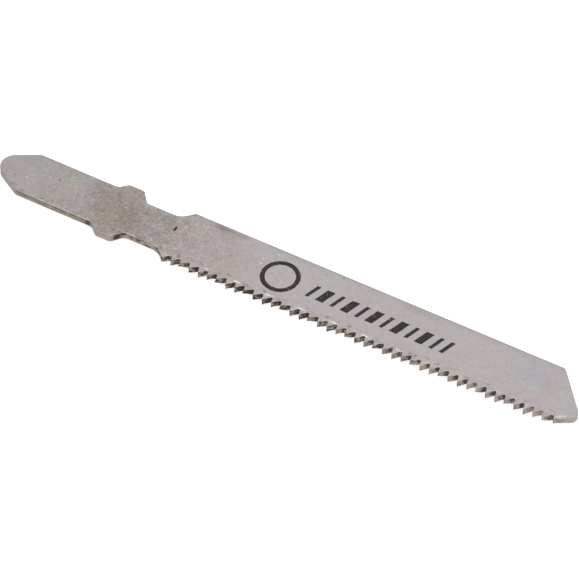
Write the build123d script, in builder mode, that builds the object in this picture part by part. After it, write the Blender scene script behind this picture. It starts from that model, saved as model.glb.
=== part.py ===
from build123d import *
import math
import os

# Jigsaw blade for metal with a T shank, stamped from one strip of steel and milled with fine teeth.
# It lies flat: X runs from the shank to the blade's end, the back edge faces +Y, the teeth face -Y
# and Z is up. The origin is on the underside, on the shank's centre line, midway along the lugs.
# Lengths are in millimetres and angles in degrees.

thickness = 0.95

# Shank, from its rounded nose to the middle of the lugs
shank_length = 15.75
shank_width = 6.2
nose_taper = 30.0
nose_radius = 1.8
shoulder_radius = 1.0

# Lugs, one on each side of the shank, with their height above its side. Their flanks are steeper
# towards the neck.
lug_height = 0.95
lug_length = 2.0
lug_slope = 45.0
lug_neck_slope = 52.0
lug_corner_radius = 0.55
lug_foot_radius = 1.0

# Neck, between the lugs and the blade, set in from the shank on its back and toothed sides
neck_back_recess = 0.56
neck_front_recess = 0.42
neck_back_foot_radius = 0.4
neck_front_foot_radius = 1.0
heel_slope = 45.0
heel_radius = 2.0

# Blade, measured from the shank's centre line
back_height = 3.92
tip_depth = 3.75
first_tip = 7.65
back_corner_radius = 0.3

# Slanted end past the last gullet. Its lower edge starts a little below the root line and rises
# towards the rounded nose.
end_length = 2.17
end_drop = 0.28
end_slant = 50.0
end_rise = 30.0
end_corner_radius = 0.6
end_nose_radius = 0.9

# Teeth, whose cutting faces look back at the shank and lean away from it towards their tips
pitch = 1.2
tooth_count = 42
tooth_height = 0.73
face_lean = 10.0
gullet_radius = 0.2

# Wavy set: the toothed edge swings up and down, one full wave for every few teeth
tooth_set = 0.17
wave_teeth = 3.5
crest_tooth = 2.25


def run_of(rise, slope):
    # Length along X of an edge that climbs by a rise at a slope
    return rise / math.tan(math.radians(slope))


# Most of an edge that the arcs at its two ends may take up together
arc_share = 0.98


def fitted_radii(corners, radii):
    # Arcs that would run into each other along an edge shrink until both fit on it
    points = [Vector(corner) for corner in corners]
    after = [(index + 1) % len(points) for index in range(len(points))]
    edges = [points[index] - points[index - 1] for index in range(len(points))]
    reaches = [
        radius * math.tan(math.radians(edges[index].get_angle(edges[after[index]]) / 2))
        for index, radius in enumerate(radii)
    ]
    strains = [
        (reaches[index - 1] + reaches[index]) / (arc_share * edge.length)
        for index, edge in enumerate(edges)
    ]
    return [
        radius / max(1, strains[index], strains[after[index]])
        for index, radius in enumerate(radii)
    ]


half_shank = shank_width / 2
half_lug = half_shank + lug_height
neck_back = half_shank - neck_back_recess
neck_front = half_shank - neck_front_recess
root_depth = tip_depth - tooth_height
end_depth = root_depth + end_drop

# The round gullet before a tooth is tangent to its cutting face and, at gullet_top from its tip, to
# the root line. The relief flank behind the tip runs tangent to the next gullet.
face_run = tooth_height * math.tan(math.radians(face_lean))
gullet_top = -face_run - gullet_radius * math.tan(math.radians((90 - face_lean) / 2))
flank_run = pitch + gullet_top
flank_reach = math.hypot(flank_run, tooth_height - gullet_radius)
relief_angle = math.degrees(
    math.atan2(tooth_height - gullet_radius, flank_run) + math.asin(gullet_radius / flank_reach)
)

# Places along X where the outline turns
nose_corner = -shank_length - nose_radius * (1 / math.sin(math.radians(nose_taper)) - 1)
shoulder = nose_corner + run_of(half_shank, nose_taper)
lug_foot = -lug_length / 2 - run_of(half_lug - half_shank, lug_slope)
neck_back_foot = lug_length / 2 + run_of(half_lug - neck_back, lug_neck_slope)
neck_front_foot = lug_length / 2 + run_of(half_lug - neck_front, lug_neck_slope)
heel_foot = first_tip - run_of(tip_depth - neck_front, heel_slope)
heel_top = heel_foot + run_of(back_height - neck_back, heel_slope)
first_root = first_tip + run_of(tooth_height, relief_angle)
teeth_end = first_tip + pitch * tooth_count
last_root = teeth_end - end_drop * math.tan(math.radians(face_lean))

# The slanted end and the rising lower edge would meet in a sharp corner past the rounded nose
half_opening = math.radians((end_slant + end_rise) / 2)
half_lean = math.radians((end_slant - end_rise) / 2)
end_overrun = end_nose_radius * (math.cos(half_lean) / math.sin(half_opening) - 1)
end_corner = teeth_end + end_length + end_overrun
end_corner_depth = end_depth - (end_corner - teeth_end) * math.tan(math.radians(end_rise))
back_end = end_corner - run_of(back_height + end_corner_depth, end_slant)

# Corners of the outline with their radii, from the shank's nose round by the back edge. The first
# tooth is part of it, and from there to the end the outline follows the root line.
shank_side = [
    (shoulder, half_shank, shoulder_radius),
    (lug_foot, half_shank, lug_foot_radius),
    (-lug_length / 2, half_lug, lug_corner_radius),
    (lug_length / 2, half_lug, lug_corner_radius),
]
blade_side = [
    (neck_back_foot, neck_back, neck_back_foot_radius),
    (heel_foot, neck_back, heel_radius),
    (heel_top, back_height, back_corner_radius),
    (back_end, back_height, end_corner_radius),
    (end_corner, -end_corner_depth, end_nose_radius),
    (teeth_end, -end_depth, 0),
    (last_root, -root_depth, gullet_radius),
    (first_root, -root_depth, gullet_radius),
    (first_tip, -tip_depth, 0),
    (heel_foot, -neck_front, heel_radius),
    (neck_front_foot, -neck_front, neck_front_foot_radius),
]
toothed_shank_side = [(x, -y, radius) for x, y, radius in reversed(shank_side)]
outline = [(nose_corner, 0, nose_radius)] + shank_side + blade_side + toothed_shank_side
corners = [(x, y) for x, y, radius in outline]
radii = [radius for x, y, radius in outline]

with BuildPart() as blade:
    with BuildSketch():
        with BuildLine():
            FilletPolyline(*corners, radius=fitted_radii(corners, radii), close=True)
        make_face()

    # Each tooth is drawn on a plane tipped about the root line by its share of the set
    for index in range(1, tooth_count):
        swing = tooth_set * math.cos(2 * math.pi * (index - crest_tooth) / wave_teeth)
        tooth_plane = Plane(
            origin=(first_tip + index * pitch, -root_depth, 0),
            x_dir=(1, 0, 0),
            z_dir=(0, swing, tooth_height),
        )
        with BuildSketch(tooth_plane):
            with BuildLine():
                face_arc = JernArc((gullet_top, 0), (1, 0), gullet_radius, face_lean - 90)
                face = Line(face_arc @ 1, (0, -tooth_height))
                root = Line(face_arc @ 0, (flank_run, 0))
                gullet_arc = JernArc(root @ 1, (-1, 0), gullet_radius, relief_angle)
                Line(gullet_arc @ 1, face @ 1)
            make_face()
    extrude(amount=thickness, dir=(0, 0, 1))

blade.part.label = "blade"

os.makedirs("parts", exist_ok=True)
export_step(blade.part, "parts/blade.step")
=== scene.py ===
from math import asin, atan2, ceil, copysign, cos, degrees, inf, pi, radians, sin, sqrt, tan

import bpy
import numpy as np
from mathutils import Matrix, Vector
from mathutils.geometry import delaunay_2d_cdt


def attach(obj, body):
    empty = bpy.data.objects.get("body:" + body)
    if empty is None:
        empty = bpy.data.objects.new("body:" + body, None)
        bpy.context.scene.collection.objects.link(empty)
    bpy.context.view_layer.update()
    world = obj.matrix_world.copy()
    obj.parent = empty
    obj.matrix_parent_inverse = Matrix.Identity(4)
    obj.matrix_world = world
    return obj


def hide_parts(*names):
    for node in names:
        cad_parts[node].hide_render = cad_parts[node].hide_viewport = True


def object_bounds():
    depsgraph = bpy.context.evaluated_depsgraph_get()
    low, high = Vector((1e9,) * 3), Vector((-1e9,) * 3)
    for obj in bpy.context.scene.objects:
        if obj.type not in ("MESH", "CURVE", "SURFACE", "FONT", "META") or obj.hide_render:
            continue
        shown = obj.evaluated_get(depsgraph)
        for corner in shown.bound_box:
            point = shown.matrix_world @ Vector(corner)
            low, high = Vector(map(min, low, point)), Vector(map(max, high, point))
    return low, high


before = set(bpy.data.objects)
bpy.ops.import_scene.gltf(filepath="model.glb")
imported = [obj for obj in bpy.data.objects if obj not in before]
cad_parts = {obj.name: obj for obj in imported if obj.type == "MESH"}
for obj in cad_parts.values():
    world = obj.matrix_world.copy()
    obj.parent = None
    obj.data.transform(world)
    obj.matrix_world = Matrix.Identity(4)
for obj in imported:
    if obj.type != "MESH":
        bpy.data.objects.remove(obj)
cad_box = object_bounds()

# Jigsaw blade for metal with a T shank, lying flat on a white floor with its teeth towards the
# camera. Lengths are in millimetres and angles in degrees, and millimetre turns them into metres.
millimetre = 0.001

# Strip, shank, lugs and neck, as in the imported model
thickness = 0.95
shank_length = 15.75
shank_width = 6.2
nose_taper = 30.0
nose_radius = 1.8
shoulder_radius = 1.0
lug_height = 0.95
lug_length = 2.0
lug_slope = 45.0
lug_neck_slope = 52.0
lug_corner_radius = 0.55
lug_foot_radius = 1.0
neck_back_recess = 0.56
neck_front_recess = 0.42
neck_back_foot_radius = 0.4
neck_front_foot_radius = 1.0
heel_slope = 45.0
heel_radius = 2.0

# Blade and slanted end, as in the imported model
back_height = 3.92
tip_depth = 3.75
first_tip = 7.65
back_corner_radius = 0.3
end_length = 2.17
end_drop = 0.28
end_slant = 50.0
end_rise = 30.0
end_corner_radius = 0.6
end_nose_radius = 0.9

# Teeth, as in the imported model
pitch = 1.2
tooth_count = 42
tooth_height = 0.73
face_lean = 10.0
gullet_radius = 0.2
root_depth = tip_depth - tooth_height
end_depth = root_depth + end_drop
teeth_end = first_tip + pitch * tooth_count

# How much deeper the cutter went at the end than at the heel, how much this varies, and the most
# of a cutting face that a gullet's arc may take up
gullet_drift = 0.22
gullet_scatter = 0.03
arc_share = 0.98

# Wavy set. The pressed edge bends from a line a little above the roots, and the press lifts the
# underside of the raised teeth more than their top and drags it towards the shank.
wave_teeth = 3.5
crest_tooth = 2.25
bend_depth = 2.72
bend_power = 1.4
set_drop = 0.15
set_rise_above = 0.15
set_rise_below = 0.34
press_power = 1.5
press_drag_heel = 0.28
press_drag_end = 0.08

# How much the set varies from tooth to tooth, its most, how far before a tip the next tooth's set
# begins as a share of the pitch, and how the set starts and fades at the ends of the toothed edge
set_scatter = 0.12
set_limit = 1.08
set_change = 0.02
set_lead = 1.2
set_fade = 2.0

# The nose of the shank was left bent up very slightly by the holder
nose_lift = 0.09
nose_bend = -4.0
nose_bend_power = 1.3

# Rolled upper edge of the punched outline, and the much crisper edge of the milled teeth. Towards
# a tip they narrow, and the lip where the flat side begins stays within a multiple of that.
roll_width = 0.07
roll_depth = 0.03
roll_lip = 0.1
milled_roll_width = 0.03
milled_roll_depth = 0.02
milled_lip = 0.05
tip_width = 0.003
tip_spread = 0.24
lip_limit = 1.2
miter_limit = 2.2

# Roughness of the punched wall and the burr along its foot. The roughness is a sum of ripples of
# growing rate, which run faster up the wall than along it and bend each other by sines.
wall_relief = 0.03
milled_relief = 0.008
burr_height = 0.05
burr_width = 0.04
ripple_sizes = 4
ripple_rate = 2.2
ripple_growth = 1.9
ripple_upright = 3.1
across_bend = 2.1
across_rate = 0.7
along_bend = 1.7
along_rate = 0.5

# Chip in the rolled edge just past the last gullet
chip_place = (58.85, -2.84)
chip_reach = 0.5
chip_width = 0.16
chip_drop = 0.3

# Short dent across the blade just before the heel, with shares of its half sizes: where its slope
# starts and ends, its rings of vertices with their counts, and how far off the others stay
dent_place = (7.0, 0.7)
dent_half = (0.14, 0.39)
dent_depth = 0.14
dent_slope_start = 1.1
dent_slope_end = 0.75
dent_rings = ((dent_slope_start, 20), (dent_slope_end, 16), (0.4, 8))
dent_clearance = 1.6

# Burning of the gullets: how much at places from tip to tip, where this starts past a tip as a
# share of the pitch, and the range of its strength from one gullet to the next and the last one's
burnt_places = (0.0, 0.1, 0.3, 0.5, 0.8, 1.0)
burnt_shares = (0.35, 0.15, 0.2, 0.55, 0.75, 0.5)
burnt_lead = 0.03
burnt_range = (0.45, 1.2)
last_burnt = 1.1

# Mesh edges along the outline, in arcs and across the flat sides, where the vertices keep a share
# of their spacing from the outline
outline_step = 0.35
tooth_step = 0.1
arc_step = 9.0
gullet_arc_step = 18.0
flat_step = 0.7
tooth_zone_step = 0.19
tooth_zone_depth = 2.3
tooth_zone_lead = 1.5
clear_share = 0.45
merge_distance = 1e-7
fill_inside = 1
crease_angle = 38.0

# Rings of vertices round the rolled edge, by angle and share of wall, and down the wall, by height,
# and how many bands of faces between rings are unrolled with the upper side
roll_rings = ((0, 0), (30, 0), (60, 0.15), (90, 1))
wall_rings = (0.8, 0.64, 0.48, 0.32, 0.18)
upper_bands = 3

# Gap between the rows of the unrolled surface
map_gap = 0.35

scatter = np.random.default_rng(7)


def run_of(rise, slope):
    """Length along X of an edge that climbs by a rise at a slope."""
    return rise / tan(radians(slope))


def fillet(before, corner, after, radius):
    """Points along the arc that rounds a corner, or the corner alone where it is sharp."""
    if radius == 0:
        return [corner]
    way_in = (corner - before).normalized()
    way_out = (after - corner).normalized()
    turn = atan2(way_in.x * way_out.y - way_in.y * way_out.x, way_in.dot(way_out))
    start = corner - way_in * radius * tan(abs(turn) / 2)
    centre = start + Vector((-way_in.y, way_in.x)) * copysign(radius, turn)
    count = max(2, ceil(degrees(abs(turn)) / arc_step))
    return [
        centre + Matrix.Rotation(turn * index / count, 2) @ (start - centre)
        for index in range(count + 1)
    ]


def rounded(corners):
    """Open run of points through (x, y, radius) corners. Its two ends aren't rounded."""
    points = [Vector(corner[:2]) for corner in corners]
    run = [points[0]]
    for index in range(1, len(corners) - 1):
        run += fillet(points[index - 1], points[index], points[index + 1], corners[index][2])
    return run + [points[-1]]


def divided(run, step):
    """The run with its long edges cut into equal parts no longer than a step."""
    made = []
    for start, end in zip(run, run[1:]):
        count = max(1, ceil((end - start).length / step))
        made += [start.lerp(end, index / count) for index in range(count)]
    return made + [run[-1]]


def plain_corners():
    """Corners of the punched outline, from the first tip by the neck, nose and back to the end."""
    half_shank = shank_width / 2
    half_lug = half_shank + lug_height
    neck_back = half_shank - neck_back_recess
    neck_front = half_shank - neck_front_recess
    nose_corner = -shank_length - nose_radius * (1 / sin(radians(nose_taper)) - 1)
    shoulder = nose_corner + run_of(half_shank, nose_taper)
    lug_foot = -lug_length / 2 - run_of(half_lug - half_shank, lug_slope)
    neck_back_foot = lug_length / 2 + run_of(half_lug - neck_back, lug_neck_slope)
    neck_front_foot = lug_length / 2 + run_of(half_lug - neck_front, lug_neck_slope)
    heel_foot = first_tip - run_of(tip_depth - neck_front, heel_slope)
    heel_top = heel_foot + run_of(back_height - neck_back, heel_slope)

    half_opening = radians((end_slant + end_rise) / 2)
    half_lean = radians((end_slant - end_rise) / 2)
    end_overrun = end_nose_radius * (cos(half_lean) / sin(half_opening) - 1)
    end_corner = teeth_end + end_length + end_overrun
    rise = (end_corner - teeth_end) * tan(radians(end_rise))
    end_corner_depth = end_depth - rise
    back_end = end_corner - run_of(back_height + end_corner_depth, end_slant)

    shank_side = [
        (shoulder, half_shank, shoulder_radius),
        (lug_foot, half_shank, lug_foot_radius),
        (-lug_length / 2, half_lug, lug_corner_radius),
        (lug_length / 2, half_lug, lug_corner_radius),
    ]
    toothed_side = [
        (first_tip, -tip_depth, 0),
        (heel_foot, -neck_front, heel_radius),
        (neck_front_foot, -neck_front, neck_front_foot_radius),
    ]
    back_side = [
        (neck_back_foot, neck_back, neck_back_foot_radius),
        (heel_foot, neck_back, heel_radius),
        (heel_top, back_height, back_corner_radius),
        (back_end, back_height, end_corner_radius),
        (end_corner, -end_corner_depth, end_nose_radius),
        (teeth_end, -end_depth, 0),
    ]
    toothed_shank_side = [(x, -y, radius) for x, y, radius in reversed(shank_side)]
    nose = [(nose_corner, 0, nose_radius)]
    return toothed_side + toothed_shank_side + nose + shank_side + back_side


def gullet(index):
    """Points from a tip up its relief flank and round the gullet to the next cutting face."""
    tip = Vector((first_tip + index * pitch, -tip_depth))
    share = index / (tooth_count - 1)
    depth = root_depth + gullet_drift * (0.5 - share) + scatter.uniform(-1, 1) * gullet_scatter
    foot = end_depth if index == tooth_count - 1 else tip_depth
    lean = radians(face_lean)
    corner_reach = tan((pi / 2 - lean) / 2)
    radius = min(gullet_radius, (foot - depth) * arc_share / (cos(lean) * corner_reach))
    face_top = tip.x + pitch - (foot - depth) * tan(lean)
    centre = Vector((face_top - radius * corner_reach, -depth - radius))
    reach = centre - tip
    relief = atan2(reach.y, reach.x) + asin(radius / reach.length)
    turn = relief + pi / 2 - lean
    count = ceil(degrees(turn) / gullet_arc_step)
    arc = [
        centre + radius * Vector((cos(angle), sin(angle)))
        for angle in np.linspace(lean + turn, lean, count + 1)
    ]
    return divided([tip] + arc + [Vector((tip.x + pitch, -foot))], tooth_step)


def outline():
    """The blade's outline as an array of points, anticlockwise from above, starting at the first
    tip, with the number of points that the teeth take."""
    teeth = []
    for index in range(tooth_count):
        teeth += gullet(index)[:-1]
    teeth.append(Vector((teeth_end, -end_depth)))
    plain = divided(rounded(plain_corners()), outline_step)
    points = np.array(teeth + plain[::-1][1:-1])
    return points, len(teeth)


def inward(points):
    """Miter directions into the outline, with how far each goes for an offset of one."""
    way = np.roll(points, -1, 0) - points
    way /= np.linalg.norm(way, axis=1, keepdims=True)
    across = np.stack([-way[:, 1], way[:, 0]], 1)
    middle = across + np.roll(across, 1, 0)
    middle /= np.linalg.norm(middle, axis=1, keepdims=True)
    stretch = 1 / np.maximum((middle * across).sum(1), 1 / miter_limit)
    return middle * stretch[:, None]


def edge_lengths(points):
    return np.linalg.norm(np.roll(points, -1, 0) - points, axis=1)


def distance_along(points, marks):
    """Distance along the closed outline from each point to the nearest marked one."""
    steps = edge_lengths(points)
    at = np.concatenate([[0], np.cumsum(steps)[:-1]])
    around = steps.sum()
    gap = np.abs(at[:, None] - at[marks][None])
    return np.minimum(gap, around - gap).min(1)


def inside(places, polygon, clearance):
    """The places that lie within a polygon, further from its corners than the clearance."""
    kept = []
    ahead = np.roll(polygon, -1, 0)
    for place in places:
        crosses = (polygon[:, 1] > place[1]) != (ahead[:, 1] > place[1])
        a, b = polygon[crosses], ahead[crosses]
        at = a[:, 0] + (place[1] - a[:, 1]) * (b[:, 0] - a[:, 0]) / (b[:, 1] - a[:, 1])
        near = ((polygon - place) ** 2).sum(1).min()
        if (at > place[0]).sum() % 2 and near > clearance**2:
            kept.append(place)
    return kept


def flat_places(polygon):
    """Places for the vertices inside a flat side, closer together where the teeth are bent."""
    places = []
    for step, low, high in (
        (tooth_zone_step, -tip_depth, -tooth_zone_depth),
        (flat_step, -tooth_zone_depth, back_height + lug_height),
        (flat_step, -back_height - lug_height, -tooth_zone_depth),
    ):
        rows = np.arange(low + step / 2, high, step * sqrt(3) / 2)
        for row, y in enumerate(rows):
            start = -shank_length + step * (row % 2) / 2
            columns = np.arange(start, teeth_end + end_length, step)
            toothed = columns > first_tip - tooth_zone_lead
            wanted = toothed if step == tooth_zone_step else ~toothed | (y > -tooth_zone_depth)
            layer = [(x, y) for x in columns[wanted]]
            places += inside(layer, polygon, step * clear_share)
    return places


def dent_reach(places):
    """Distance of places from the middle of the dent, as a share of its half sizes."""
    return np.linalg.norm((np.array(places) - dent_place) / dent_half, axis=1)


def upper_places(polygon):
    """Places for the vertices inside the upper side, with rings of them down into the dent."""
    places = np.array(flat_places(polygon))
    kept = [places[dent_reach(places) > dent_clearance]]
    for share, count in dent_rings:
        turns = np.arange(count) * 2 * pi / count
        ring = np.column_stack([np.cos(turns), np.sin(turns)]) * share * np.array(dent_half)
        kept.append(ring + dent_place)
    return np.concatenate(kept)


def filled(ring, places):
    """Triangles across a ring of points, as corner numbers, with the places numbered after it."""
    corners = [Vector(point) for point in ring] + [Vector(place) for place in places]
    made = delaunay_2d_cdt(corners, [], [list(range(len(ring)))], fill_inside, merge_distance)
    source = [origin[0] for origin in made[3]]
    return [[source[corner] for corner in face] for face in made[2]]


def set_field(points):
    """The points of the flat blade moved by the set of its teeth and the bend of its nose."""
    x, y, z = points.T
    index = (x - first_tip) / pitch
    depth = np.clip((-y - bend_depth) / (tip_depth - bend_depth), 0, None) ** bend_power
    past = np.clip((x - teeth_end) / set_fade, 0, 1)
    before = np.clip((first_tip - x) / set_lead, 0, 1)
    depth = depth * (1 - past) * (1 - before)
    strength = 1 + set_scatter * scatter.uniform(-1, 1, tooth_count + 2)
    tooth = np.clip(np.floor(index + set_change).astype(int), 0, tooth_count + 1)
    wave = np.cos(2 * pi * (index - crest_tooth) / wave_teeth)
    up, down = np.clip(wave, 0, 1), np.clip(-wave, 0, 1)
    height = np.clip(z / thickness, 0, 1)
    above = set_rise_above * up - set_drop * down
    below = set_rise_below * up**press_power - set_drop * down
    lift = (below + (above - below) * height) * np.minimum(strength[tooth], set_limit)
    share = np.clip(index / tooth_count, 0, 1)
    drag = (press_drag_heel + (press_drag_end - press_drag_heel) * share) * up**press_power
    bent = np.clip((nose_bend - x) / (nose_bend + shank_length), 0, 1) ** nose_bend_power
    return np.stack([x - drag * depth * (1 - height), y, z + lift * depth + nose_lift * bent], 1)


def wall_noise(points):
    """Smooth seeded roughness, from -1 to 1, that runs lengthwise along the wall."""
    x, y, z = points.T
    total = 0
    for size in range(ripple_sizes):
        phase = scatter.uniform(0, 2 * pi, 3)
        rate = ripple_rate * ripple_growth**size
        along = rate * x + phase[0] + across_bend * np.sin(across_rate * rate * y + phase[1])
        sway = along_bend * np.sin(along_rate * rate * (x + y))
        upward = ripple_upright * rate * z + phase[2] + sway
        total = total + np.sin(along) * np.sin(upward) / (1 + size)
    return total / 2


def wall_levels(points, milled, sharp):
    """Rings of vertices round the outline, from the upper side over the wall to the underside. Each
    has its offset, its height and how much it belongs to the rim and to the wall."""
    narrow = tip_width + tip_spread * distance_along(points, np.flatnonzero(sharp))
    chip = np.exp(-((np.linalg.norm(points - chip_place, axis=1) / chip_reach) ** 2))
    roll = np.where(milled, milled_roll_width, roll_width) + chip_width * chip
    roll = np.minimum(roll, narrow)
    lip = np.where(milled, milled_roll_width + milled_lip, roll_width + roll_lip)
    lip = lip + chip_width * chip
    drop = np.where(milled, milled_roll_depth, roll_depth) * np.minimum(1, narrow / roll_width)
    drop = drop + chip_drop * chip
    relief = np.where(milled, milled_relief, wall_relief)

    levels = [(np.minimum(lip, lip_limit * narrow), thickness, 0, 0)]
    for angle, wall in roll_rings:
        bend = radians(angle)
        height = thickness - drop * (1 - cos(bend))
        levels.append((roll * (1 - sin(bend)), height, 1, wall))
    for share in wall_rings:
        height = burr_height + (thickness - drop - burr_height) * share
        rough = 0.5 + 0.5 * wall_noise(np.column_stack([points, height]))
        inset = relief * rough * sin(pi * share)
        levels.append((np.minimum(inset, narrow), height, 1, 1))
    levels.append((0, burr_height, 1, 1))
    levels.append((np.minimum(burr_width, narrow), 0, 1, 0))
    levels.append((np.minimum(burr_width + roll_lip, lip_limit * narrow), 0, 0, 0))
    return levels


def strip_faces(rings, top_places, bottom_places):
    """Faces between the rings and across the two flat sides, each with the side of the blade that
    it is unrolled with: 1 above, 0 the wall and -1 below."""
    count = len(rings[0])
    faces, sides = [], []
    for level in range(len(rings) - 1):
        side = 1 if level < upper_bands else -1 if level == len(rings) - 2 else 0
        upper, lower = level * count, (level + 1) * count
        for index in range(count):
            after = (index + 1) % count
            faces.append([upper + index, lower + index, lower + after, upper + after])
            sides.append(side)
    inner = len(rings) * count
    for side, ring, ring_start, places_start, places in (
        (1, rings[0], 0, inner, top_places),
        (-1, rings[-1], inner - count, inner + len(top_places), bottom_places),
    ):
        for face in filled(ring[:, :2], places):
            faces.append([
                corner + (ring_start if corner < count else places_start - count)
                for corner in face[::side]
            ])
            sides.append(side)
    return faces, sides


def add_shares(mesh, points, milled, levels, inside_count):
    """Gives the vertices the shares that the material reads: rim, wall, milled edge and soot."""
    along = (points[:, 0] - first_tip) / pitch - burnt_lead
    number = np.clip(along.astype(int), 0, tooth_count)
    strength = scatter.uniform(*burnt_range, tooth_count + 1)[number]
    strength[number == tooth_count - 1] = last_burnt
    soot = np.interp(along % 1, burnt_places, burnt_shares) * strength * milled
    offsets, heights, rims, walls = zip(*levels)
    for name, values in (
        ("rim", [np.full(len(points), rim) for rim in rims]),
        ("wall", [np.full(len(points), wall) for wall in walls]),
        ("milled", [milled] * len(levels)),
        ("soot", [soot * wall for wall in walls]),
    ):
        layer = mesh.attributes.new(name, "FLOAT", "POINT")
        values = np.concatenate(values + [np.zeros(inside_count)])
        layer.data.foreach_set("value", values.astype(np.float32))


def unroll(mesh, vertices, points, sides):
    """A UV map that lays the two flat sides out in two rows each and the wall in rows below."""
    count = len(points)
    at = np.concatenate([[0], np.cumsum(edge_lengths(points))])
    row_length = (shank_length + teeth_end + end_length) / 2
    row_height = 2 * (shank_width / 2 + lug_height) + map_gap
    wall_row = thickness + map_gap
    map_side = 4 * row_height + ceil(at[-1] / row_length) * wall_row + map_gap
    layer = mesh.uv_layers.new(name="OFBake")
    places = np.zeros((len(mesh.loops), 2))
    for polygon, side in zip(mesh.polygons, sides):
        loops = list(polygon.loop_indices)
        corners = np.array(polygon.vertices)
        if side:
            flat = vertices[corners, :2]
            row = int(flat[:, 0].mean() + shank_length > row_length)
            u = flat[:, 0] + shank_length - row * row_length
            v = flat[:, 1] * side + row_height * (row + 0.5 + (0 if side > 0 else 2))
        else:
            index = corners % count
            distance = np.where((index == 0) & (index.max() > 1), at[-1], at[index])
            row = int(distance.mean() // row_length)
            u = distance - row * row_length
            v = vertices[corners, 2] + row_height * 4 + wall_row * row
        places[loops] = np.column_stack([u + map_gap, v + map_gap / 2]) / map_side
    layer.data.foreach_set("uv", places.ravel().astype(np.float32))


def blade_mesh():
    """The strip with rolled upper edges, rough walls, a burr below and its teeth set."""
    points, tooth_points = outline()
    count = len(points)
    milled = np.arange(count) < tooth_points
    sharp = milled & np.isclose(points[:, 1], -tip_depth)
    sharp[tooth_points - 1] = True
    levels = wall_levels(points, milled, sharp)
    into = inward(points)
    rings = [
        np.column_stack([
            points + into * np.broadcast_to(offset, count)[:, None],
            np.broadcast_to(height, count),
        ])
        for offset, height, rim, wall in levels
    ]
    top_places = upper_places(rings[0][:, :2])
    bottom_places = flat_places(rings[-1][:, :2])
    dent_share = (dent_slope_start - dent_reach(top_places)) / (dent_slope_start - dent_slope_end)
    top = np.column_stack([top_places, thickness - dent_depth * np.clip(dent_share, 0, 1)])
    bottom = np.column_stack([bottom_places, np.zeros(len(bottom_places))])
    vertices = np.concatenate(rings + [top, bottom])
    faces, sides = strip_faces(rings, top_places, bottom_places)

    mesh = bpy.data.meshes.new("blade_detail")
    mesh.from_pydata((set_field(vertices) * millimetre).tolist(), [], faces)
    mesh.shade_smooth()
    mesh.set_sharp_from_angle(angle=radians(crease_angle))
    add_shares(mesh, points, milled, levels, len(top) + len(bottom))
    unroll(mesh, vertices, points, sides)
    return mesh


# Sockets of the mix node for colours
mix_share, mix_first, mix_second, mix_result = 0, 6, 7, 2


class Shader:
    """A material's node tree, with short calls that add a node and return its output."""

    def __init__(self, name):
        self.material = bpy.data.materials.new(name)
        self.material.use_nodes = True
        self.tree = self.material.node_tree
        self.tree.nodes.clear()

    def node(self, kind, inputs=(), **settings):
        made = self.tree.nodes.new("ShaderNode" + kind)
        for name, value in settings.items():
            setattr(made, name, value)
        for socket, value in dict(inputs).items():
            if isinstance(value, bpy.types.NodeSocket):
                self.tree.links.new(value, made.inputs[socket])
            else:
                made.inputs[socket].default_value = value
        return made

    def math(self, operation, *values):
        return self.node("Math", enumerate(values), operation=operation).outputs[0]

    def total(self, first, *others):
        for other in others:
            first = self.math("ADD", first, other)
        return first

    def product(self, first, *others):
        for other in others:
            first = self.math("MULTIPLY", first, other)
        return first

    def vector(self, operation, *values):
        made = self.node("VectorMath", enumerate(values), operation=operation)
        return made.outputs["Value" if operation == "LENGTH" else "Vector"]

    def ramp(self, value, low, high, start=0.0, end=1.0):
        """Smooth step of a value, from start at low to end at high."""
        inputs = {"Value": value, "From Min": low, "From Max": high, "To Min": start, "To Max": end}
        made = self.node("MapRange", inputs, interpolation_type="SMOOTHSTEP", clamp=True)
        return made.outputs["Result"]

    def band(self, value, centre, half, soft, within=1.0, beyond=0.0):
        """One value within half a width of the centre, changing smoothly to another past it."""
        away = self.math("ABSOLUTE", self.math("SUBTRACT", value, centre))
        return self.ramp(away, half - soft, half + soft, within, beyond)

    def noise(self, place, stretch, detail=2.0, roughness=0.5, colour=False):
        """Noise whose features are about one over the stretch long each way, in millimetres."""
        stretch = stretch if isinstance(stretch, tuple) else (stretch,) * 3
        inputs = {
            "Vector": self.vector("MULTIPLY", place, stretch),
            "Scale": 1.0,
            "Detail": detail,
            "Roughness": roughness,
        }
        return self.node("TexNoise", inputs).outputs["Color" if colour else "Fac"]

    def spots(self, place, noise, ramp):
        """Spots where a noise climbs a ramp."""
        return self.ramp(self.noise(place, *noise), *ramp)

    def swing(self, noise):
        """A noise moved so that it lies about evenly round nought."""
        return self.math("SUBTRACT", noise, 0.5)

    def reach(self, place, x, y, half_length, half_width, z=0.0, half_height=inf):
        """Distance from a place, as a share of a patch's half sizes each way."""
        away = self.vector("SUBTRACT", place, (x, y, z))
        away = self.vector("MULTIPLY", away, (1 / half_length, 1 / half_width, 1 / half_height))
        return self.vector("LENGTH", away)

    def blend(self, share, *colours):
        """Mix of two colours, each an output or a screen colour, by the share of the second."""
        first, second = (linear(each) if isinstance(each, tuple) else each for each in colours)
        inputs = {mix_share: share, mix_first: first, mix_second: second}
        made = self.node("Mix", inputs, data_type="RGBA", clamp_factor=True)
        return made.outputs[mix_result]

    def layered(self, colour, *layers):
        """The colour under layers, each with its share and its own colour."""
        for share, layer in layers:
            colour = self.blend(share, colour, layer)
        return colour

    def varied(self, colour, noise, amount):
        """The colour made lighter and darker by a noise, or tinted by a coloured one."""
        amount = amount if isinstance(amount, bpy.types.NodeSocket) else (amount,) * 3
        swing = self.vector("SUBTRACT", noise, (0.5,) * 3)
        swing = self.vector("MULTIPLY_ADD", swing, amount, (1.0,) * 3)
        return self.vector("MULTIPLY", colour, swing)

    def attribute(self, name):
        return self.node("Attribute", attribute_name=name).outputs["Fac"]


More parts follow.
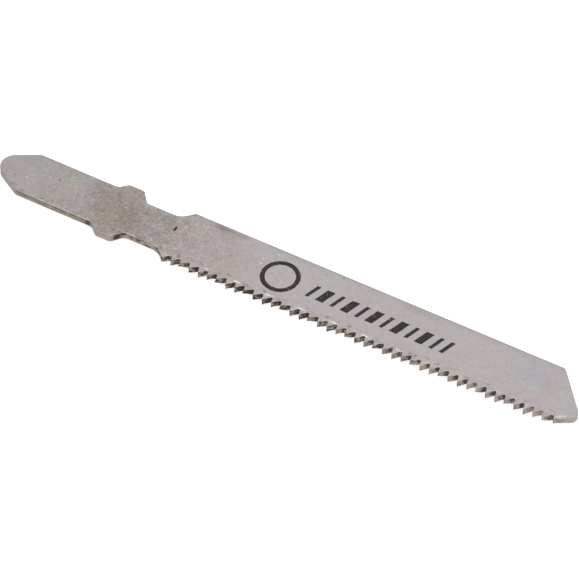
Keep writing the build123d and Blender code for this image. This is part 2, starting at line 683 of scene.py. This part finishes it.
def linear(colour):
    """A screen colour of 0 to 255 as the linear colour that a shader takes."""
    return [((value / 255 + 0.055) / 1.055) ** 2.4 for value in colour] + [1.0]


# From here on colours are screen colours. A ramp has the two places or values where it starts and
# ends, and then what it gives there unless that is 0 and 1. A band has its centre, half width and
# softness, and a noise its features per millimetre, detail and roughness. Levels are shares of the
# thickness, from the underside up.

# Steel, from the shank with its brown handling stain at the lugs to the brighter blade
shank_grey = (170, 163, 162)
lug_brown = (156, 146, 140)
blade_grey = (182, 175, 175)
bladewards_ramp = (4.0, 20.0)
lug_stain_start = (-6.5, -1.0)
lug_stain_end = (2.0, 11.0, 1.0, 0.0)
lug_stain_sides = (1.0, 3.2, 1.0, 0.65)

# Dimmer, cooler strips along the back of the blade and the shank, each with its edge, width and
# ramp along X, and the still dimmer rim of both, which is painted shade
back_grey = (138, 146, 148)
back_strips = (
    (back_height, 1.2, (16.0, 20.0)),
    (shank_width / 2, 2.4, (-4.0, -2.0, 1.0, 0.0)),
)
strip_share = 0.2
back_rim = 0.35
back_rim_inset = 0.1
back_edge_shade_share = 0.12

# Mottling, which is strongest at the neck, and rolling lines, with how much each shows in the
# colour and in the relief, and coloured tints, each with its noise and share
mottle_rise = (-18.0, 4.0, 0.35, 1.4)
mottle_fall = (5.0, 20.0, 1.0, 0.29)
tints = (((0.38, 3.0, 0.6), 0.17), ((1.3, 2.0, 0.6), 0.1))
cloud_noise = (1.5, 3.0, 0.6)
cloud_share = 0.6
cloud_relief = 0.8
grain_noise = (3.5, 3.0, 0.7)
grain_relief = 0.6
line_noise = ((0.12, 7.0, 1.0), 3.0)
line_share = 0.05
line_relief = 0.25

# Stains and tints on the flat sides: x, y, half length, half width, strength and colour
stains = (
    (-14.7, -0.3, 0.9, 1.2, 0.45, (178, 158, 158)),
    (-11.0, 0.5, 2.0, 1.4, 0.4, (163, 163, 157)),
    (-9.2, -1.0, 1.6, 1.0, 0.4, (171, 154, 155)),
    (-8.9, 2.2, 1.5, 0.8, 0.4, (170, 152, 152)),
    (-3.6, 1.9, 1.6, 1.3, 0.5, (148, 137, 130)),
    (-0.4, -1.7, 1.7, 0.8, 0.25, (156, 147, 130)),
    (-6.4, -1.9, 2.4, 0.9, 0.4, (152, 144, 140)),
    (1.4, -0.2, 1.5, 1.1, 0.25, (142, 130, 121)),
    (1.6, -1.3, 1.4, 0.8, 0.3, (140, 128, 122)),
    (3.0, 2.2, 2.0, 0.7, 0.5, (168, 166, 168)),
    (3.3, -0.8, 0.9, 0.8, 0.4, (156, 162, 171)),
    (4.7, -0.1, 1.3, 1.5, 0.4, (163, 165, 169)),
    (5.7, 1.4, 1.3, 0.8, 0.35, (150, 146, 130)),
    (8.5, 1.1, 1.3, 1.2, 0.35, (160, 150, 136)),
    (13.8, -0.2, 5.5, 3.2, 0.5, (174, 158, 152)),
    (12.3, 2.9, 2.4, 0.9, 0.45, (160, 142, 132)),
    (12.0, 3.5, 1.9, 0.5, 0.6, (124, 106, 96)),
    (14.5, 3.6, 1.0, 0.6, 0.4, (152, 134, 124)),
    (15.0, -2.2, 0.9, 0.7, 0.45, (186, 160, 142)),
    (37.6, 3.3, 2.6, 0.6, 0.35, (158, 157, 146)),
    (53.0, 1.4, 2.3, 1.6, 0.5, (167, 168, 180)),
    (52.3, 2.9, 0.6, 0.5, 0.4, (174, 152, 155)),
    (55.7, 1.0, 1.2, 1.7, 0.4, (176, 161, 158)),
    (54.1, -1.7, 1.9, 0.9, 0.35, (183, 165, 165)),
    (59.0, -1.1, 1.1, 1.1, 0.45, (172, 172, 180)),
)
stain_fray = 0.9
stain_fade = (0.1, 1.3)
fray_noise = (1.1, 4.0, 0.6)

# Brown smears in a strip just above the gullets, left by the cutter and the press
smear_depth = 2.7
smear_half = 0.3
smear_brown = (122, 101, 92)
smear_spots = (((1.1, 1.9, 1.0), 3.0, 0.65), (0.53, 0.64))
smear_strength = (46.0, 52.0, 0.7, 0.35)

# Small dark pits and bright nicks, the nicks partly wear and partly painted highlight: x, y and
# radius, with their colours and the dent's
pits = (
    (-13.4, -1.07, 0.16),
    (-8.45, 0.73, 0.21),
    (-4.0, 0.68, 0.16),
    (-2.1, -1.82, 0.22),
    (0.3, -1.62, 0.24),
    (2.3, -2.4, 0.14),
    (14.6, 0.28, 0.19),
    (25.6, 3.05, 0.14),
    (27.5, 3.6, 0.16),
    (52.7, 0.34, 0.13),
)
nicks = (
    (-12.0, -0.82, 0.2),
    (-11.7, -1.2, 0.11),
    (-11.3, -1.5, 0.1),
    (18.15, 0.9, 0.2),
    (18.05, 1.6, 0.13),
    (19.3, 3.0, 0.1),
    (58.5, -2.93, 0.36),
    (58.8, -2.78, 0.5),
    (59.15, -2.62, 0.36),
)
mark_fade = (0.3, 1.0, 1.0, 0.0)
pit_brown = (104, 92, 86)
pit_share = 0.45
nick_wear_and_highlight = (214, 209, 206)
nick_share = 0.8
dent_brown = (58, 44, 44)
dent_fade = (0.7, 1.15, 1.0, 0.0)

# Faint specks at random places, of which only some show
speck_rate = 0.9
speck_fade = (0.05, 0.13, 1.0, 0.0)
speck_chance = (0.55, 0.9, 0.0, 0.2)

# Cut edges: punched walls with dark tears along them below a smoother, lighter band, a dark seam
# on the shank, and the lighter walls of the nose, the neck and the lugs
wall_dark = (112, 102, 94)
wall_light = (156, 146, 136)
wall_tones = (((1.6, 1.6, 6.0), 3.0, 0.7), (0.38, 0.62))
wall_foot = (120, 111, 104)
foot_levels = (0.1, 0.5, 0.3, 0.0)
wall_band = (166, 157, 150)
band_levels = (0.66, 0.9, 0.0, 0.6)
wall_beige = (188, 175, 157)
beige_spots = (((0.5, 0.5, 0.8), 2.0), (0.5, 0.6, 0.0, 0.39))
pale_band = (-4.6, 1.5, 0.9, 0.28, 0.0)
wall_tear = (76, 66, 59)
streak_noise = ((0.6, 0.7, 6.5), 3.0, 0.6)
tear_streaks = (0.42, 0.48, 0.85, 0.0)
fewer_tears_band = (-7.2, 4.4, 0.9, 0.55, 1.0)
seam_levels = (0.72, 0.08, 0.04)
seam_band = (-7.2, 4.6, 0.4)
seam_breaks = (((0.9, 0.9, 0.3), 2.0), (0.34, 0.46, 0.15, 0.95))
neck_band = (4.0, 2.2, 0.8)
neck_beige_share = 0.585
neck_tears = (((1.5, 1.5, 4.0), 2.0, 0.6), (0.5, 0.57, 0.0, 0.4))
nose_wall = (150, 147, 141)
nose_tip_ramp = (-13.2, -11.8, 0.3, 0.0)
nose_ramp = (-13.0, -5.0, 0.45, 0.0)
lug_wall = (163, 151, 148)
lug_band = (-0.3, 1.5, 0.5)
lug_wall_share = 0.8
lug_crease = (122, 109, 106)
crease_levels = (0.78, 0.07, 0.05, 0.7, 0.0)

# Plain grey wall of the slanted end and past the last gullet
end_grey = (161, 156, 152)
end_ramp = (52.5, 54.5)
end_sides = (-2.4, -2.0)
past_gullet_ramp = (teeth_end - 0.15, teeth_end)

# Grime and dark marks on the walls at the lugs, the neck and the heel: x, y, half length, half
# width, z, half height, strength and colour
grime_places = (
    (-11.3, -3.1, 1.0, 0.3, 0.66, 0.24, 0.5, (116, 101, 96)),
    (-2.45, -3.2, 0.4, 0.4, 0.5, 0.7, 0.85, (58, 49, 43)),
    (1.6, -3.5, 0.4, 0.7, 0.5, 0.8, 0.95, (58, 36, 30)),
    (2.15, -2.85, 0.42, 0.4, 0.85, 0.38, 0.95, (54, 40, 33)),
    (3.1, -2.7, 0.35, 0.3, 0.62, 0.18, 0.6, (88, 76, 64)),
    (3.95, -2.7, 0.4, 0.3, 0.55, 0.26, 0.75, (84, 72, 62)),
    (5.1, -2.7, 0.5, 0.3, 0.25, 0.20, 0.8, (78, 70, 60)),
    (6.5, -2.85, 0.5, 0.3, 0.65, 0.24, 0.75, (82, 72, 64)),
    (7.25, -3.4, 0.3, 0.3, 0.75, 0.30, 0.8, (84, 80, 68)),
    (58.8, -2.9, 0.7, 0.5, 0.6, 0.5, 0.5, (138, 131, 128)),
)
grime_fray = 0.8
grime_fade = (0.5, 1.15)

# Milled gullets: beige or olive from one to the next and greyer to the end, with painted
# cream highlights
milled_beige = (152, 137, 122)
milled_olive = (140, 131, 115)
milled_grey = (164, 151, 144)
milled_painted_highlight = (206, 194, 178)
tooth_noise = ((0.55, 0.1, 0.1), 1.0)
tooth_tones = (0.45, 0.6)
milled_grey_ramp = (34.0, 52.0)
milled_noise = (3.0, 2.0, 0.6)
milled_share = 0.9
gleam_spots = ((2.6, 3.0, 0.65), (0.56, 0.66, 0.0, 0.6))

# Burnt blotches in the gullets, with more of them in the first half and most near the ring
soot_brown = (54, 35, 28)
blotch_noise = ((2.2, 2.2, 2.6), 3.0, 0.65)
blotch_swing = (38.0, 50.0, 3.6, 2.0)
first_half_soot = (26.0, 42.0, 0.12, 0.0)
ring_soot_band = (21.5, 3.5, 2.0, 0.22, 0.0)
soot_edge = (0.3, 0.55)
soot_strength = (34.0, 52.0, 0.95, 0.75)

# Painted highlight: a bright glint line where the press bent the teeth down, just above the roots.
# It shows where the wave is low, for a longer part of the wave further along.
glint_depth = 2.93
glint_half = 0.1
glint_soft = 0.08
glint_shift = 0.4
glint_painted_highlight = (236, 229, 222)
glint_trough = -0.95
glint_wave_ramp = (16.0, 28.0, -0.7, -0.3)
glint_breaks = (((0.9, 2.0, 1.0), 3.0), (0.36, 0.52))
glint_strength = (30.0, 46.0, 0.8, 0.25)

# Rim of the upper side: painted highlight along the toothed edge, in broken patches and less at
# the lug, the nose and the end, and painted shade along the back
rim_painted_highlight = (216, 208, 203)
rim_breaks = (((1.3, 1.3, 1.0), 3.0, 0.65), (0.42, 0.58, 0.1, 0.85))
rim_lug_band = (-0.3, 2.2, 1.0, 0.5, 1.0)
rim_nose_ramp = (-11.5, -9.5)
rim_end_ramp = (teeth_end - 0.5, teeth_end, 1.0, 0.15)
toothed_side_ramp = (-2.2, -1.5, 1.0, 0.0)
rim_painted_shade = (140, 135, 130)
rim_painted_shade_ramp = (54.0, 57.0, 0.6, 0.15)

# Printed mark: a plain ring and a row of slanted bars, wide and narrow by turns, with worn edges,
# pinholes and a few fine scratches inside the ring
ink_black = (36, 28, 27)
ring_place = (21.08, 0.2)
ring_radius = 2.08
ring_half = 0.28
bars_start = 24.6
bars_end = 43.0
bar_pitch = 1.6
bar_slant = 0.35
bar_halves = (0.24, 0.5)
bars_middle = 0.06
bars_half_height = 1.0
ink_edge = 0.035
wobble_noise = (3.0, 3.0)
wobble_share = 0.12
pinholes = ((4.5, 2.0), (0.27, 0.33))
scratch_white = (196, 191, 189)
scratch_lines = (((9.0, 0.9, 1.0), 2.0), (0.58, 0.66))
scratch_fade = (0.8, 0.9, 0.45, 0.0)

# Where the upper side begins, and how far apart the patterns of the two flat sides are drawn
upper_levels = (0.3, 0.7)
pattern_shift = 9.0

# Roughness of plain steel and what relief, walls, cover and glints add to it, and how much of the
# metal's shine a cover of ink or dirt takes away
plain_roughness = 0.33
added_roughness = (0.14, 0.06, 0.18, -0.12)
cover_shine = -0.95

# Depth of the surface's fine relief, and what the walls, the pits and the ink add to its height
bump_depth = 0.02
wall_height = 2.0
pit_height = -1.2
ink_height = 0.15


def printed(shader, place, x, y, upper, colour):
    """The colour with the ring and the bars on it, as a thin worn print, and where the ink is."""
    wobble = shader.product(shader.swing(shader.noise(place, *wobble_noise)), wobble_share)
    from_centre = shader.total(shader.reach(place, *ring_place, 1, 1), wobble)
    ring = shader.band(from_centre, ring_radius, ring_half, ink_edge)

    leaning = shader.math("SUBTRACT", x, shader.product(y, bar_slant))
    leaning = shader.total(leaning, wobble)
    along = shader.math("DIVIDE", shader.math("SUBTRACT", leaning, bars_start), bar_pitch)
    number = shader.math("FLOOR", along)
    within = shader.math("SUBTRACT", along, number)
    odd = shader.math("MODULO", number, 2.0)
    narrow, wide = bar_halves
    half = shader.math("MULTIPLY_ADD", odd, wide - narrow, narrow)
    away = shader.math("ABSOLUTE", shader.math("SUBTRACT", within, 0.5))
    away = shader.math("SUBTRACT", shader.product(away, bar_pitch), half)
    bars = shader.product(
        shader.ramp(away, -ink_edge, ink_edge, 1.0, 0.0),
        shader.band(leaning, (bars_start + bars_end) / 2, (bars_end - bars_start) / 2, ink_edge),
        shader.band(shader.total(y, wobble), bars_middle, bars_half_height, ink_edge),
    )
    mark = shader.math("MAXIMUM", ring, bars)
    ink = shader.product(mark, shader.spots(place, *pinholes), upper)
    scratch = shader.product(
        shader.spots(place, *scratch_lines),
        shader.ramp(shader.reach(place, *ring_place, ring_radius, ring_radius), *scratch_fade),
        upper,
    )
    return shader.layered(colour, (scratch, scratch_white), (ink, ink_black)), ink


def nearest(shader, place, marks):
    """One on small round marks, fading to nothing at their radius."""
    near = None
    for x, y, radius in marks:
        far = shader.reach(place, x, y, radius, radius)
        near = shader.math("MINIMUM", near, far) if near else far
    return shader.ramp(near, *mark_fade)


def flat_steel(shader, place, x, y, fray):
    """Colour of the two flat sides, with tones, stains, mottling and smears, and its relief."""
    lugs = shader.product(
        shader.ramp(x, *lug_stain_start),
        shader.ramp(x, *lug_stain_end),
        shader.ramp(shader.math("ABSOLUTE", y), *lug_stain_sides),
    )
    bladewards = shader.ramp(x, *bladewards_ramp)
    colour = shader.layered(shank_grey, (bladewards, blade_grey), (lugs, lug_brown))
    for edge, width, shown in back_strips:
        dim = shader.ramp(y, edge - width, edge, 0.0, strip_share)
        # The dimmer rim along the back edge is painted shade
        rim = shader.ramp(y, edge - back_rim, edge - back_rim_inset, 0.0, back_edge_shade_share)
        dim = shader.product(shader.total(dim, rim), shader.ramp(x, *shown))
        colour = shader.blend(dim, colour, back_grey)
    for *patch, strength, tint in stains:
        far = shader.math("MULTIPLY_ADD", fray, stain_fray, shader.reach(place, *patch))
        colour = shader.blend(shader.ramp(far, *stain_fade, strength, 0.0), colour, tint)

    mottling = shader.product(shader.ramp(x, *mottle_rise), shader.ramp(x, *mottle_fall))
    clouds = shader.noise(place, *cloud_noise)
    grain = shader.noise(place, *grain_noise)
    lines = shader.noise(place, *line_noise)
    for noise, share in tints:
        colour = shader.varied(colour, shader.noise(place, *noise, colour=True), share)
    colour = shader.varied(colour, clouds, shader.product(mottling, cloud_share))
    colour = shader.varied(colour, grain, mottling)
    colour = shader.varied(colour, lines, line_share)

    smear = shader.product(
        shader.spots(place, *smear_spots),
        shader.band(y, -smear_depth, smear_half, smear_half),
        shader.ramp(x, *smear_strength),
    )
    colour = shader.blend(smear, colour, smear_brown)
    height = shader.total(
        shader.product(grain, grain_relief),
        shader.product(lines, line_relief),
        shader.product(clouds, cloud_relief),
    )
    return colour, height


def marked_steel(shader, place, true_place, upper, colour):
    """The colour with pits, nicks, specks and the dent, and where the pits and the dent are."""
    pitted = shader.product(nearest(shader, true_place, pits), upper)
    nicked = shader.product(nearest(shader, true_place, nicks), upper)
    dent = shader.ramp(shader.reach(true_place, *dent_place, *dent_half), *dent_fade)
    dent = shader.product(dent, upper)
    specks = shader.node("TexVoronoi", {"Vector": place, "Scale": speck_rate}).outputs
    chance = shader.node("SeparateColor", {"Color": specks["Color"]}).outputs["Red"]
    speck = shader.product(
        shader.ramp(specks["Distance"], *speck_fade),
        shader.ramp(chance, *speck_chance),
    )
    # The bright nicks are partly wear and partly painted highlight
    colour = shader.layered(
        colour,
        (shader.product(pitted, pit_share), pit_brown),
        (shader.product(nicked, nick_share), nick_wear_and_highlight),
        (dent, dent_brown),
        (speck, pit_brown),
    )
    return colour, pitted, dent


def painted_glint_mask(shader, place, x, y, upper):
    """Where the painted highlight goes: the glint line above the teeth that the press bent down."""
    turn = 2 * pi / wave_teeth
    shift = -turn * (first_tip / pitch + crest_tooth + glint_shift)
    wave = shader.math("COSINE", shader.math("MULTIPLY_ADD", x, turn / pitch, shift))
    return shader.product(
        shader.band(y, -glint_depth, glint_half, glint_soft),
        shader.ramp(wave, glint_trough, shader.ramp(x, *glint_wave_ramp), 1.0, 0.0),
        shader.spots(place, *glint_breaks),
        shader.math("GREATER_THAN", x, first_tip + pitch),
        shader.ramp(x, *glint_strength),
        upper,
    )


def punched_steel(shader, place, x, level):
    """Colour of the punched walls and the streaks along them."""
    streaks = shader.noise(place, *streak_noise)
    tears = shader.product(shader.ramp(streaks, *tear_streaks), shader.band(x, *fewer_tears_band))
    neck = shader.band(x, *neck_band)
    neck_beige = shader.product(neck, neck_beige_share)
    lug = shader.band(x, *lug_band)
    seam = shader.product(
        shader.band(level, *seam_levels),
        shader.band(x, *seam_band),
        shader.spots(place, *seam_breaks),
    )
    colour = shader.layered(
        wall_dark,
        (shader.spots(place, *wall_tones), wall_light),
        (shader.ramp(level, *foot_levels), wall_foot),
        (shader.math("MAXIMUM", neck_beige, shader.spots(place, *beige_spots)), wall_beige),
        (shader.ramp(level, *band_levels), wall_band),
        (tears, wall_tear),
        (shader.band(x, *pale_band), wall_beige),
        (seam, wall_tear),
        (shader.product(neck, shader.spots(place, *neck_tears)), wall_tear),
        (shader.total(shader.ramp(x, *nose_tip_ramp), shader.ramp(x, *nose_ramp)), nose_wall),
        (shader.product(lug, lug_wall_share), lug_wall),
        (shader.product(lug, shader.band(level, *crease_levels)), lug_crease),
    )
    return colour, streaks


def milled_steel(shader, place, x):
    """Colour of the milled gullets, with painted cream highlights."""
    tooth = shader.noise(place, *tooth_noise, colour=True)
    tooth = shader.node("SeparateColor", {"Color": tooth}).outputs["Green"]
    tone = shader.ramp(tooth, *tooth_tones)
    greyer = shader.ramp(x, *milled_grey_ramp)
    colour = shader.layered(milled_beige, (tone, milled_olive), (greyer, milled_grey))
    colour = shader.varied(colour, shader.noise(place, *milled_noise), milled_share)
    # Painted cream highlights in spots
    return shader.blend(shader.spots(place, *gleam_spots), colour, milled_painted_highlight)


def cut_steel(shader, place, x, y, level, fray):
    """Colour of the walls round the outline, their streaks and the share of dirt."""
    colour, streaks = punched_steel(shader, place, x, level)
    milled = shader.attribute("milled")
    slanted = shader.product(shader.ramp(x, *end_ramp), shader.ramp(y, *end_sides))
    end = shader.math("MAXIMUM", slanted, shader.ramp(x, *past_gullet_ramp))
    gullets = milled_steel(shader, place, x)
    colour = shader.layered(colour, (milled, gullets), (end, end_grey))

    dirt = None
    for *patch, strength, tint in grime_places:
        far = shader.math("MULTIPLY_ADD", fray, grime_fray, shader.reach(place, *patch))
        grime = shader.ramp(far, *grime_fade, strength, 0.0)
        colour = shader.blend(grime, colour, tint)
        dirt = shader.math("MAXIMUM", dirt, grime) if dirt else grime

    blotches = shader.swing(shader.noise(place, *blotch_noise))
    soot = shader.total(
        shader.product(blotches, shader.ramp(x, *blotch_swing)),
        shader.attribute("soot"),
        shader.ramp(x, *first_half_soot),
        shader.band(x, *ring_soot_band),
    )
    soot = shader.product(shader.ramp(soot, *soot_edge), shader.ramp(x, *soot_strength), milled)
    colour = shader.blend(soot, colour, soot_brown)
    return colour, streaks, shader.math("MAXIMUM", dirt, soot)


def rimmed(shader, place, x, y, rolled, colour):
    """The colour with the painted highlight and painted shade on the rim of the upper side."""
    toothed_side = shader.ramp(y, *toothed_side_ramp)
    bright = shader.product(
        shader.spots(place, *rim_breaks),
        shader.band(x, *rim_lug_band),
        shader.ramp(x, *rim_nose_ramp),
        shader.ramp(x, *rim_end_ramp),
        toothed_side,
        rolled,
    )
    back_side = shader.math("SUBTRACT", 1.0, toothed_side)
    dull = shader.product(shader.ramp(x, *rim_painted_shade_ramp), back_side, rolled)
    return shader.layered(colour, (bright, rim_painted_highlight), (dull, rim_painted_shade))


def steel_material():
    shader = Shader("rolled_steel")
    where = shader.node("TexCoord").outputs["Object"]
    true_place = shader.vector("MULTIPLY", where, (1 / millimetre,) * 3)
    split = shader.node("SeparateXYZ", {"Vector": true_place}).outputs
    x, y = split["X"], split["Y"]
    level = shader.math("DIVIDE", split["Z"], thickness)
    wall = shader.attribute("wall")
    flat = shader.math("SUBTRACT", 1.0, wall)
    upper = shader.product(shader.ramp(level, *upper_levels), flat)

    # The patterns of the two flat sides are drawn apart, so that they differ
    shift = shader.product(shader.math("SUBTRACT", 1.0, upper), flat, pattern_shift)
    shift = shader.node("CombineXYZ", {"Z": shift}).outputs[0]
    place = shader.vector("ADD", true_place, shift)
    fray = shader.swing(shader.noise(place, *fray_noise))

    steel, height = flat_steel(shader, place, x, y, fray)
    steel, pitted, dent = marked_steel(shader, place, true_place, upper, steel)
    glint = painted_glint_mask(shader, true_place, x, y, upper)
    # Painted highlight: the bright glint line along the bent teeth
    steel = shader.blend(glint, steel, glint_painted_highlight)
    steel, ink = printed(shader, true_place, x, y, upper, steel)
    cut, streaks, dirt = cut_steel(shader, true_place, x, y, level, fray)
    # Painted highlight along the toothed rim and painted shade along the back rim
    rolled = shader.product(shader.attribute("rim"), flat, upper)
    colour = rimmed(shader, true_place, x, y, rolled, shader.blend(wall, steel, cut))

    dirt = shader.product(dirt, wall)
    covered = shader.math("MAXIMUM", ink, shader.math("MAXIMUM", dirt, dent))
    roughness = plain_roughness
    for share, added in zip((height, wall, covered, glint), added_roughness):
        roughness = shader.math("MULTIPLY_ADD", share, added, roughness)
    relief = shader.total(
        shader.product(height, flat),
        shader.product(streaks, wall, wall_height),
        shader.product(pitted, pit_height),
        shader.product(ink, ink_height),
    )
    bump = {"Height": relief, "Strength": 1.0, "Distance": bump_depth * millimetre}
    surface = shader.node("BsdfPrincipled", {
        "Base Color": colour,
        "Metallic": shader.math("MULTIPLY_ADD", covered, cover_shine, 1.0),
        "Roughness": roughness,
        "Normal": shader.node("Bump", bump).outputs["Normal"],
    })
    shader.node("OutputMaterial", {"Surface": surface.outputs["BSDF"]})
    return shader.material


def added(name, data):
    """A new object in the scene."""
    made = bpy.data.objects.new(name, data)
    bpy.context.scene.collection.objects.link(made)
    return made


def add_blade():
    blade = added("blade_detail", blade_mesh())
    blade.data.materials.append(steel_material())
    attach(blade, "root")
    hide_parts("blade")


# The camera looks at a point on the blade's upper side from in front of the teeth and above. Its
# near and far limits are in metres.
target = Vector((22.946, -1.008, thickness))
camera_azimuth = 27.956
camera_elevation = 48.786
camera_roll = 1.071
camera_distance = 740.6
camera_lens = 402.43
camera_near = 0.01
camera_far = 10.0


def add_camera():
    azimuth, elevation = radians(camera_azimuth), radians(camera_elevation)
    back = Vector((
        sin(azimuth) * cos(elevation),
        -cos(azimuth) * cos(elevation),
        sin(elevation),
    ))
    camera = added("camera", bpy.data.cameras.new("camera"))
    camera.data.lens = camera_lens
    camera.data.clip_start = camera_near
    camera.data.clip_end = camera_far
    camera.location = (target + back * camera_distance) * millimetre
    roll = Matrix.Rotation(radians(camera_roll), 3, "Z").to_quaternion()
    camera.rotation_mode = "QUATERNION"
    camera.rotation_quaternion = (-back).to_track_quat("-Z", "Y") @ roll
    bpy.context.scene.camera = camera


# White floor at the height of the lowest teeth, and the glow that keeps it white to the camera
floor_half = 1500.0
floor_tone = 0.9
floor_glow = 0.62


def add_floor():
    half = floor_half * millimetre
    height = cad_box[0].z
    mesh = bpy.data.meshes.new("floor")
    places = ((-half, -half), (half, -half), (half, half), (-half, half))
    mesh.from_pydata([(x, y, height) for x, y in places], [], [(0, 1, 2, 3)])
    floor = added("floor", mesh)
    shader = Shader("white_floor")
    rays = shader.node("LightPath").outputs
    seen = shader.math("MAXIMUM", rays["Is Camera Ray"], rays["Is Glossy Ray"])
    seen = shader.math("MAXIMUM", seen, rays["Is Transmission Ray"])
    paint = shader.node("BsdfDiffuse", {"Color": (floor_tone, floor_tone, floor_tone, 1)})
    glow = shader.node("Emission", {"Strength": shader.product(seen, floor_glow)})
    both = shader.node("AddShader", {0: paint.outputs[0], 1: glow.outputs[0]})
    shader.node("OutputMaterial", {"Surface": both.outputs[0]})
    mesh.materials.append(shader.material)


# Lamps that face the blade, with place, size and power in watts, and the even light round them
lamps = (
    ("softbox", (-250, 650, 900), 900, 1.1),
    ("overhead", (-60, 60, 1100), 250, 0.8),
)
studio_strength = 0.72


def add_light(name, place, size, power):
    lamp = bpy.data.lights.new(name, "AREA")
    lamp.size = size * millimetre
    lamp.energy = power
    light = added(name, lamp)
    light.location = Vector(place) * millimetre
    light.rotation_mode = "QUATERNION"
    light.rotation_quaternion = (target * millimetre - light.location).to_track_quat("-Z", "Y")


def add_lighting():
    world = bpy.data.worlds.new("studio")
    bpy.context.scene.world = world
    world.use_nodes = True
    background = world.node_tree.nodes["Background"].inputs
    background["Strength"].default_value = studio_strength
    background["Color"].default_value = (1, 1, 1, 1)
    for lamp in lamps:
        add_light(*lamp)
    bpy.context.scene.view_settings.view_transform = "Standard"


add_camera()
add_blade()
add_floor()
add_lighting()
